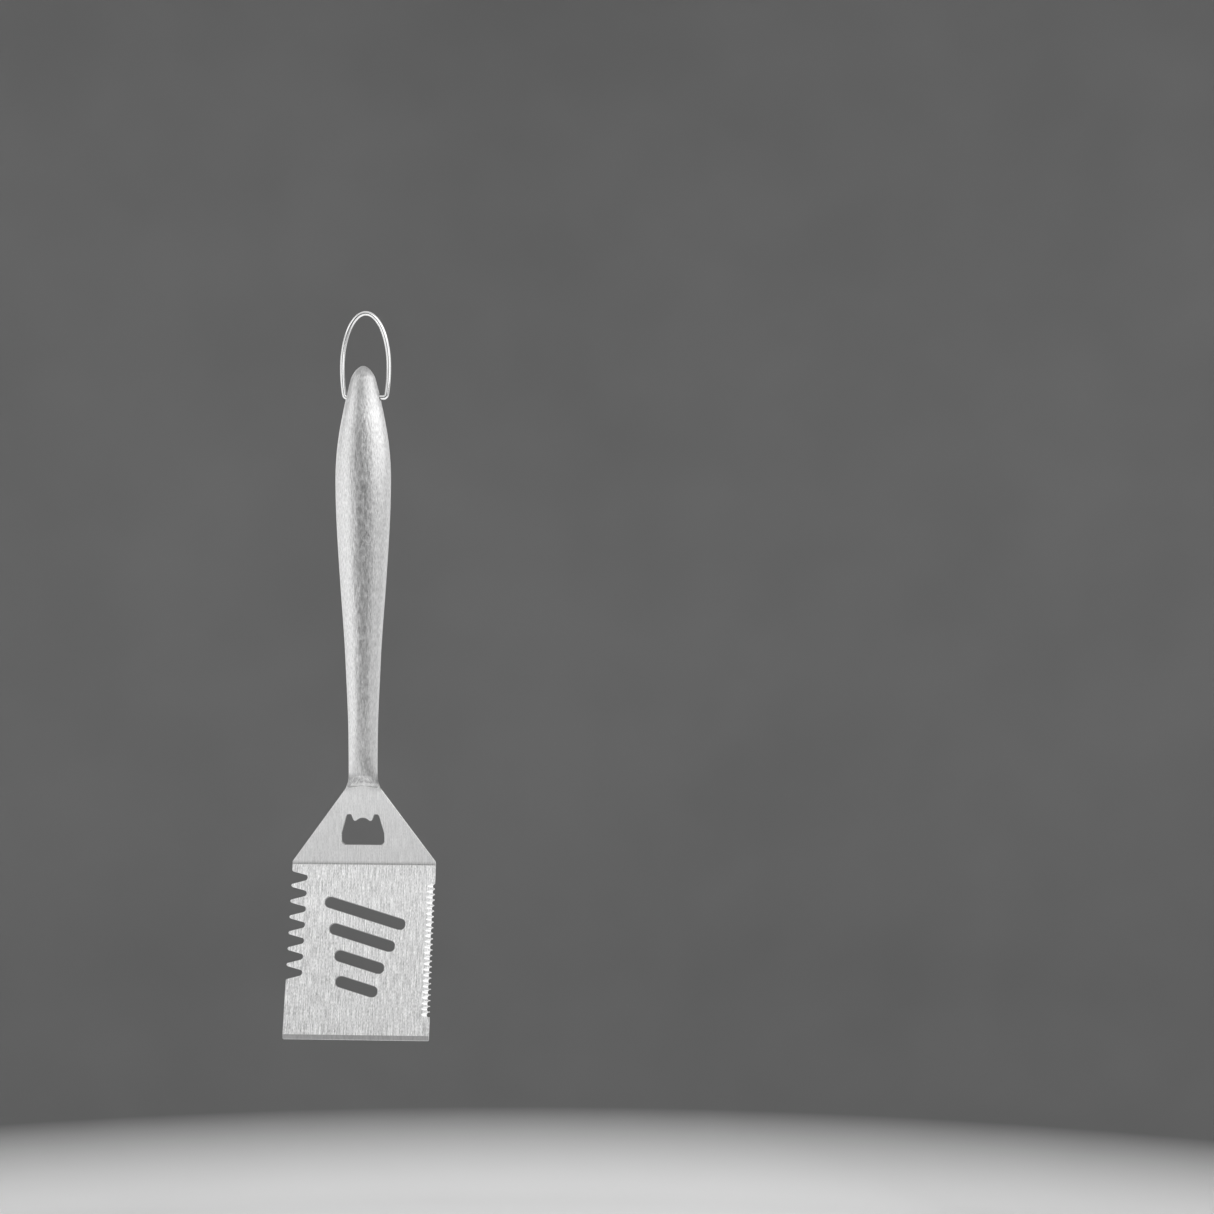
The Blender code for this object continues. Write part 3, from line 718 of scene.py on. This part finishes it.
def make_handle():
    bore = rods("bore_rod", TUBE_LIP_RADIUS, BORE_ROD_LENGTH, [Matrix.Rotation(math.pi / 2, 4, "Y")])
    mesh = cut_mesh(handle_mesh(), bore, "handle_blank")
    smooth_mesh(mesh, ROUND_SHARP)
    replaced = (
        "handle_front_shell", "handle_back_shell", "seam_weld_left", "seam_weld_right", "seam_weld_butt",
        "neck_weld_front", "neck_weld_back",
    )
    mesh.transform(TOOL_FRAME)
    add_piece("handle", mesh, [satin_handle_material()], "spatula", replaced)


def make_tube():
    """The tube that the loop turns in, with rounded lips just inside the handle's skin."""
    lip = ((TUBE_BORE_RADIUS, TUBE_LIP_X), (TUBE_LIP_RADIUS, TUBE_LIP_X))
    corners = [(radius, -x, TUBE_LIP_ROUND) for radius, x in lip]
    corners += [(radius, x, TUBE_LIP_ROUND) for radius, x in reversed(lip)]
    outline = round_corners(corners)
    bm = bmesh.new()
    rings = []
    for step in range(TUBE_STEPS):
        angle = 2 * math.pi * step / TUBE_STEPS
        rings.append([bm.verts.new((x, r * math.cos(angle), r * math.sin(angle))) for r, x in outline])
    for step in range(TUBE_STEPS):
        ring, after = rings[step], rings[(step + 1) % TUBE_STEPS]
        for index in range(len(outline)):
            following = (index + 1) % len(outline)
            bm.faces.new((ring[index], ring[following], after[following], after[index]))
    mesh = mesh_from(bm, "loop_tube_lipped")
    smooth_mesh(mesh, ROUND_SHARP)
    mesh.transform(TOOL_FRAME)
    add_piece("loop_tube_lipped", mesh, [tube_material()], "spatula", ["loop_tube"])


# ---- Blade ----


def sheet_place(height):
    """Centre line point (y, z) and upward direction of the bent sheet, at a height up the flat sheet."""
    for corner_height, corner, below, above in (
        (0.0, BLADE_BEND, BLADE_UP, SHOULDER_UP),
        (SHOULDER_HEIGHT, NECK_CORNER, SHOULDER_UP, TANG_UP),
    ):
        offset = height - corner_height
        if abs(offset) < BEND_REACH:
            share = (offset + BEND_REACH) / (2 * BEND_REACH)
            point = corner + BEND_REACH * (share**2 * above - (1 - share) ** 2 * below)
            return point, ((1 - share) * below + share * above).normalized()
        if offset <= 0:
            return corner + offset * below, below
    return NECK_CORNER + (height - SHOULDER_HEIGHT) * TANG_UP, TANG_UP


def on_sheet(across, height, forward):
    """The point of the bent tool for a point of the flat sheet and its distance in front of the middle."""
    point, up = sheet_place(height)
    place = point + forward * Vector((-up.y, up.x))
    return Vector((across, place.x, place.y))


def gullet_corners():
    """Corners of the left edge's big teeth, from the top down."""
    depth = GULLET_HALF_MOUTH / math.tan(GULLET_HALF_ANGLE)
    corners = []
    for index in range(TEETH_GULLETS):
        height = -(FIRST_GULLET_DROP + GULLET_PITCH * index)
        corners.append((-BLADE_HALF_WIDTH, height + GULLET_HALF_MOUTH, TOOTH_RADIUS))
        corners.append((-BLADE_HALF_WIDTH + depth, height, GULLET_RADIUS))
        corners.append((-BLADE_HALF_WIDTH, height - GULLET_HALF_MOUTH, TOOTH_RADIUS))
    return corners


def blade_outline():
    """The flat sheet's edge, down its left side and up its right side, before the serrations are ground."""
    tang_top = SHOULDER_HEIGHT + TANG_LENGTH
    shoulder = (
        (NECK_HALF_WIDTH, SHOULDER_HEIGHT, 0),
        (NECK_FLARE_X, NECK_FLARE_HEIGHT, NECK_FLARE_RADIUS),
        (BLADE_HALF_WIDTH, SHOULDER_CORNER_HEIGHT, SHOULDER_CORNER_RADIUS),
    )
    left = [(-TANG_HALF_WIDTH, tang_top, TANG_CORNER_RADIUS), (-TANG_HALF_WIDTH, SHOULDER_HEIGHT, 0)]
    left += [(-x, height, radius) for x, height, radius in shoulder]
    left += gullet_corners()
    left += [(-BLADE_HALF_WIDTH, -BLADE_LENGTH, BLADE_CORNER_RADIUS)]
    right = [(BLADE_HALF_WIDTH, -BLADE_LENGTH, BLADE_CORNER_RADIUS)]
    right += list(reversed(shoulder))
    right += [(TANG_HALF_WIDTH, SHOULDER_HEIGHT, 0), (TANG_HALF_WIDTH, tang_top, TANG_CORNER_RADIUS)]
    return round_corners(left + right)


def slot_outline(index):
    centre = Vector((FIRST_SLOT_X + SLOT_STEP_X * index, -(FIRST_SLOT_DROP + SLOT_STEP_DROP * index)))
    along = Vector((math.cos(SLOT_TILT), -math.sin(SLOT_TILT)))
    aside = Vector((math.sin(SLOT_TILT), math.cos(SLOT_TILT))) * SLOT_RADIUS
    end = along * (SLOT_SPANS[index] / 2 + SLOT_RADIUS)
    corners = (centre - end - aside, centre + end - aside, centre + end + aside, centre - end + aside)
    return round_corners([(*corner, SLOT_RADIUS * SLOT_END_ROUND) for corner in corners])


def opener_outline():
    half = [(x * MM, height * MM, radius * MM) for x, height, radius in OPENER_HALF]
    right = [(OPENER_CENTRE_X + x, height, radius) for x, height, radius in half]
    left = [(OPENER_CENTRE_X - x, height, radius) for x, height, radius in reversed(half[:-1])]
    return round_corners(right + left)


def serration_place(index):
    """Height of a serration and how far its gullet's bottom is from the blade's middle."""
    share = index / (SERRATIONS - 1)
    depth = FIRST_SERRATION_DEPTH + (LAST_SERRATION_DEPTH - FIRST_SERRATION_DEPTH) * share
    return -(FIRST_SERRATION_DROP + SERRATION_PITCH * index), BLADE_HALF_WIDTH - depth


def rods(name, radius, length, places):
    """One cutter object of rods along the local Z of each place."""
    bm = bmesh.new()
    for place in places:
        bmesh.ops.create_cone(
            bm, cap_ends=True, segments=ROD_STEPS, radius1=radius, radius2=radius, depth=length, matrix=place
        )
    obj = bpy.data.objects.new(name, mesh_from(bm, name))
    bpy.context.scene.collection.objects.link(obj)
    return obj


def gullet_rods():
    """Upright rods that cut the round serrations through the right edge."""
    places = []
    for index in range(SERRATIONS):
        height, bottom_x = serration_place(index)
        places.append(Matrix.Translation((bottom_x + SERRATION_RADIUS, height, 0)))
    return rods("gullet_rods", SERRATION_RADIUS, FACET_ROD_LENGTH, places)


def facet_rods(first):
    """Rods that slope down into the front face: each grinds the facet in front of every second serration."""
    slope = Matrix.Rotation(FACET_SLOPE, 4, "Y")
    places = []
    for index in range(first, SERRATIONS, 2):
        height, bottom_x = serration_place(index)
        start = Vector((bottom_x - FACET_REACH, height, SHEET_HALF))
        lift = slope @ Vector((0, 0, FACET_RADIUS))
        places.append(Matrix.Translation(start + lift) @ slope @ Matrix.Rotation(math.pi / 2, 4, "Y"))
    return rods("facet_rods", FACET_RADIUS, FACET_ROD_LENGTH, places)


def opening_outlines():
    return [opener_outline()] + [slot_outline(index) for index in range(len(SLOT_SPANS))]


def in_box_round(outline, point):
    """Whether a point of the flat sheet lies in the box round an outline."""
    xs = [corner.x for corner in outline]
    ys = [corner.y for corner in outline]
    return min(xs) <= point.x <= max(xs) and min(ys) <= point.y <= max(ys)


def flat_blade():
    """The flat sheet with rounded rims, its serrations and their facets ground in."""
    outlines = [blade_outline()] + [outline[::-1] for outline in opening_outlines()]
    sheet = curve_object("blade_outline", outlines, closed=True, dimensions="2D")
    sheet.data.fill_mode = "BOTH"
    sheet.data.extrude = SHEET_HALF - RIM_ROUND
    sheet.data.bevel_depth = RIM_ROUND
    sheet.data.bevel_resolution = RIM_BEVEL_STEPS
    sheet.data.offset = -RIM_ROUND
    mesh = welded(evaluated_mesh(sheet))
    for cutter in (gullet_rods(), facet_rods(0), facet_rods(1)):
        mesh = cut_mesh(mesh, cutter, "blade_cut")
    return mesh


def bend_cuts():
    heights = [EDGE_BEVEL_WIDTH - BLADE_LENGTH]
    for step in range(BEND_STEPS + 1):
        offset = BEND_REACH * (2 * step / BEND_STEPS - 1)
        heights += [offset, SHOULDER_HEIGHT + offset]
    return heights


def make_blade():
    """The flat sheet cut across at the bends, laid on the bent tool, with its lower edge ground thin."""
    facets_start = serration_place(0)[0] + SERRATION_PITCH / 2
    facets_end = serration_place(SERRATIONS - 1)[0] - SERRATION_PITCH / 2
    openings = opening_outlines()
    bm = bmesh.new()
    bm.from_mesh(flat_blade())
    for height in bend_cuts():
        everything = bm.verts[:] + bm.edges[:] + bm.faces[:]
        bmesh.ops.bisect_plane(
            bm, geom=everything, dist=WELD_DISTANCE, plane_co=(0, height, 0), plane_no=(0, 1, 0)
        )
    bevel_height = EDGE_BEVEL_WIDTH - BLADE_LENGTH
    grain = bm.loops.layers.uv.new("grain")
    bm.normal_update()
    for face in bm.faces:
        centre = face.calc_center_median()
        on_right = centre.x > BLADE_HALF_WIDTH - SERRATION_BAND
        by_serrations = on_right and facets_end < centre.y < facets_start
        in_opening = any(in_box_round(outline, centre) for outline in openings)
        if centre.y < bevel_height and face.normal.z > EDGE_LEAST_NORMAL:
            face.material_index = EDGE_SLOT
        elif by_serrations and FACET_NORMALS[0] < face.normal.z < FACET_NORMALS[1]:
            face.material_index = FACET_SLOT
        elif in_opening and abs(face.normal.z) < CUT_MOST_NORMAL:
            face.material_index = CUT_SLOT
        for loop in face.loops:
            across, height, forward = loop.vert.co
            loop[grain].uv = (across + forward, height + forward / 2)
    for vert in bm.verts:
        across, height, forward = vert.co
        if forward > 0 and height < bevel_height:
            ground = (bevel_height - height) / EDGE_BEVEL_WIDTH
            forward -= ground * (2 * SHEET_HALF - EDGE_THICKNESS)
        vert.co = on_sheet(across, height, forward)
    mesh = mesh_from(bm, "blade_sheet")
    smooth_mesh(mesh, FLAT_SHARP)
    mesh.transform(TOOL_FRAME)
    materials = [
        brushed_blade_material(), ground_edge_material(), ground_facet_material(), cut_edge_material(),
    ]
    add_piece("blade_sheet", mesh, materials, "spatula", ["blade"])


# ---- Hanging loop ----


def loop_half():
    """The right half of the wire's centre line, from its end in the tube up to the crown, as (x, z)."""
    waist_z = PIVOT.z + LOOP_WAIST_ABOVE_PIVOT

    def leg_point(above_pivot):
        drop = LOOP_WAIST_ABOVE_PIVOT - above_pivot
        return LOOP_HALF_WIDTH * math.sqrt(1 - (drop / LOOP_LEG_DROP) ** 2), PIVOT.z + above_pivot

    foot_x, _ = leg_point(0.0)
    foot = (foot_x, PIVOT.z, LOOP_CORNER_RADIUS)
    corner = [(LOOP_WIRE_END, PIVOT.z, 0), foot, (*leg_point(LOOP_LEG_END), 0)]
    points = [tuple(point) for point in round_corners(corner, closed=False)]
    for step in range(1, LEG_STEPS):
        share = step / LEG_STEPS
        points.append(leg_point(LOOP_LEG_END + (LOOP_WAIST_ABOVE_PIVOT - LOOP_LEG_END) * share))
    for step in range(CROWN_STEPS + 1):
        angle = math.pi / 2 * step / CROWN_STEPS
        points.append((LOOP_HALF_WIDTH * math.cos(angle), waist_z + LOOP_CROWN_RISE * math.sin(angle)))
    return points


def make_loop():
    right = loop_half()
    path = [(LOOP_CENTRE_X + x, 0, z) for x, z in right]
    path += [(LOOP_CENTRE_X - x, 0, z) for x, z in reversed(right[:-1])]
    curve = curve_object("wire_loop_path", [path], closed=False, dimensions="3D")
    curve.data.bevel_depth = WIRE_RADIUS
    curve.data.bevel_resolution = WIRE_BEVEL_STEPS
    curve.data.use_fill_caps = True
    mesh = welded(evaluated_mesh(curve))
    smooth_mesh(mesh, ROUND_SHARP)
    wire = [polished_wire_material()]
    add_piece("wire_loop", mesh, wire, "hanging_loop", ["hanging_loop"])


# ---- Studio ----


def make_studio():
    profile = [(STUDIO_RADIUS - SWEEP_RADIUS, FLOOR_Z)]
    for step in range(1, SWEEP_STEPS + 1):
        angle = math.pi / 2 * step / SWEEP_STEPS
        out = STUDIO_RADIUS - SWEEP_RADIUS + SWEEP_RADIUS * math.sin(angle)
        profile.append((out, FLOOR_Z + SWEEP_RADIUS * (1 - math.cos(angle))))
    profile.append((STUDIO_RADIUS, STUDIO_TOP))
    bm = bmesh.new()
    rings = []
    for out, z in profile:
        angles = [2 * math.pi * side / STUDIO_SIDES for side in range(STUDIO_SIDES)]
        rings.append([bm.verts.new((out * math.cos(angle), out * math.sin(angle), z)) for angle in angles])
    bm.faces.new(rings[0])
    for ring, above in zip(rings, rings[1:]):
        for side in range(STUDIO_SIDES):
            after = (side + 1) % STUDIO_SIDES
            bm.faces.new((ring[side], ring[after], above[after], above[side]))
    mesh = mesh_from(bm, "studio_floor")
    mesh.shade_smooth()
    mesh.materials.append(studio_material())
    floor = bpy.data.objects.new("studio_floor", mesh)
    bpy.context.scene.collection.objects.link(floor)


def softbox(name, azimuth, elevation, roll, width, height, radiance):
    """A soft light round the tool. Azimuths run from the tool's front towards its right."""
    light = bpy.data.lights.new(name, "AREA")
    light.shape = "RECTANGLE"
    light.size = width
    light.size_y = height
    light.energy = radiance * math.pi * width * height
    obj = bpy.data.objects.new(name, light)
    middle = Matrix.Translation((cad_low + cad_high) / 2)
    round_tool = Matrix.Rotation(math.radians(azimuth), 4, "Z")
    upward = Matrix.Rotation(math.radians(90 - elevation), 4, "X")
    out = Matrix.Translation((0, 0, SOFTBOX_DISTANCE)) @ Matrix.Rotation(math.radians(roll), 4, "Z")
    obj.matrix_world = middle @ round_tool @ upward @ out
    obj.visible_camera = False
    bpy.context.scene.collection.objects.link(obj)


def floor_light():
    """An even light from above for the floor and the wall, which the metal doesn't mirror."""
    light = bpy.data.lights.new("floor_light", "AREA")
    light.shape = "DISK"
    light.size = FLOOR_LIGHT_SIZE
    light.energy = FLOOR_LIGHT_POWER
    obj = bpy.data.objects.new("floor_light", light)
    obj.location = (0, 0, STUDIO_TOP)
    obj.visible_camera = False
    obj.visible_glossy = False
    bpy.context.scene.collection.objects.link(obj)


def make_lights():
    world = bpy.data.worlds.new("studio")
    world.use_nodes = True
    background = world.node_tree.nodes["Background"]
    background.inputs["Color"].default_value = (WORLD_GREY, WORLD_GREY, WORLD_GREY, 1)
    background.inputs["Strength"].default_value = WORLD_STRENGTH
    bpy.context.scene.world = world
    for settings in SOFTBOXES:
        softbox(*settings)
    floor_light()


def make_camera():
    camera = bpy.data.cameras.new("camera")
    camera.sensor_width = SENSOR_WIDTH
    camera.lens = LENS
    obj = bpy.data.objects.new("camera", camera)
    aim = (
        Matrix.Rotation(CAMERA_PAN, 4, "Z")
        @ Matrix.Rotation(math.pi / 2 + CAMERA_TILT, 4, "X")
        @ Matrix.Rotation(CAMERA_ROLL, 4, "Z")
    )
    obj.matrix_world = TOOL_FRAME @ Matrix.Translation(CAMERA_PLACE) @ aim
    bpy.context.scene.collection.objects.link(obj)
    bpy.context.scene.camera = obj


make_camera()
make_handle()
make_tube()
make_blade()
make_loop()
make_studio()
make_lights()
bpy.context.scene.view_settings.view_transform = "Standard"
